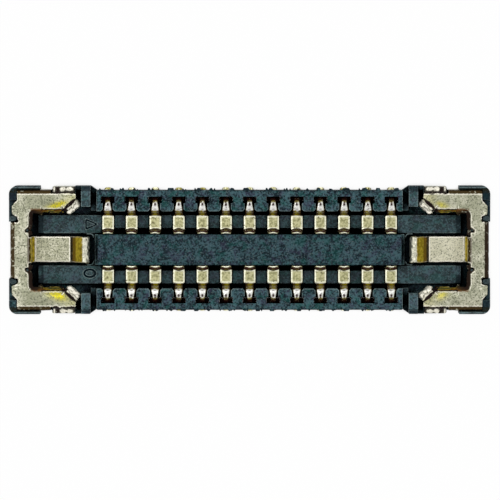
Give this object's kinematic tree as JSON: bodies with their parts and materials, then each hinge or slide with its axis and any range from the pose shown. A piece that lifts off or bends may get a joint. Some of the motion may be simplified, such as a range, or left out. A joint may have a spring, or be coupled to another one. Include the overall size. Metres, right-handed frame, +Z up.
{
  "type": "fpc connector",
  "caption": "Low board-to-board receptacle for a flexible circuit: slotted moulded housing, two rows of bent contacts and a folded metal guard at each end.",
  "frame": {"origin": "middle of the footprint, on the solder plane that the tails, legs and end flanges stand on", "axes": "+X along the rows of contacts, +Y across them towards the rear row, +Z up from the circuit board towards the mating side"},
  "size_m": [0.0072, 0.0018, 0.0006],
  "materials": {
    "housing": "moulded liquid crystal polymer, dark blue-green grey, fine grain",
    "guard": "pale gold plating over nickel on copper alloy, satin with fine specks",
    "contact": "gold plated copper alloy, bright at the bends"
  },
  "bodies": {
    "root": {"housing": "housing", "guard_right": "guard", "guard_left": "guard", "contact_rear_01": "contact", "contact_front_01": "contact", "contact_rear_02": "contact", "contact_front_02": "contact", "contact_rear_03": "contact", "contact_front_03": "contact", "contact_rear_04": "contact", "contact_front_04": "contact", "contact_rear_05": "contact", "contact_front_05": "contact", "contact_rear_06": "contact", "contact_front_06": "contact", "contact_rear_07": "contact", "contact_front_07": "contact", "contact_rear_08": "contact", "contact_front_08": "contact", "contact_rear_09": "contact", "contact_front_09": "contact", "contact_rear_10": "contact", "contact_front_10": "contact", "contact_rear_11": "contact", "contact_front_11": "contact", "contact_rear_12": "contact", "contact_front_12": "contact", "contact_rear_13": "contact", "contact_front_13": "contact"}
  },
  "joints": []
}
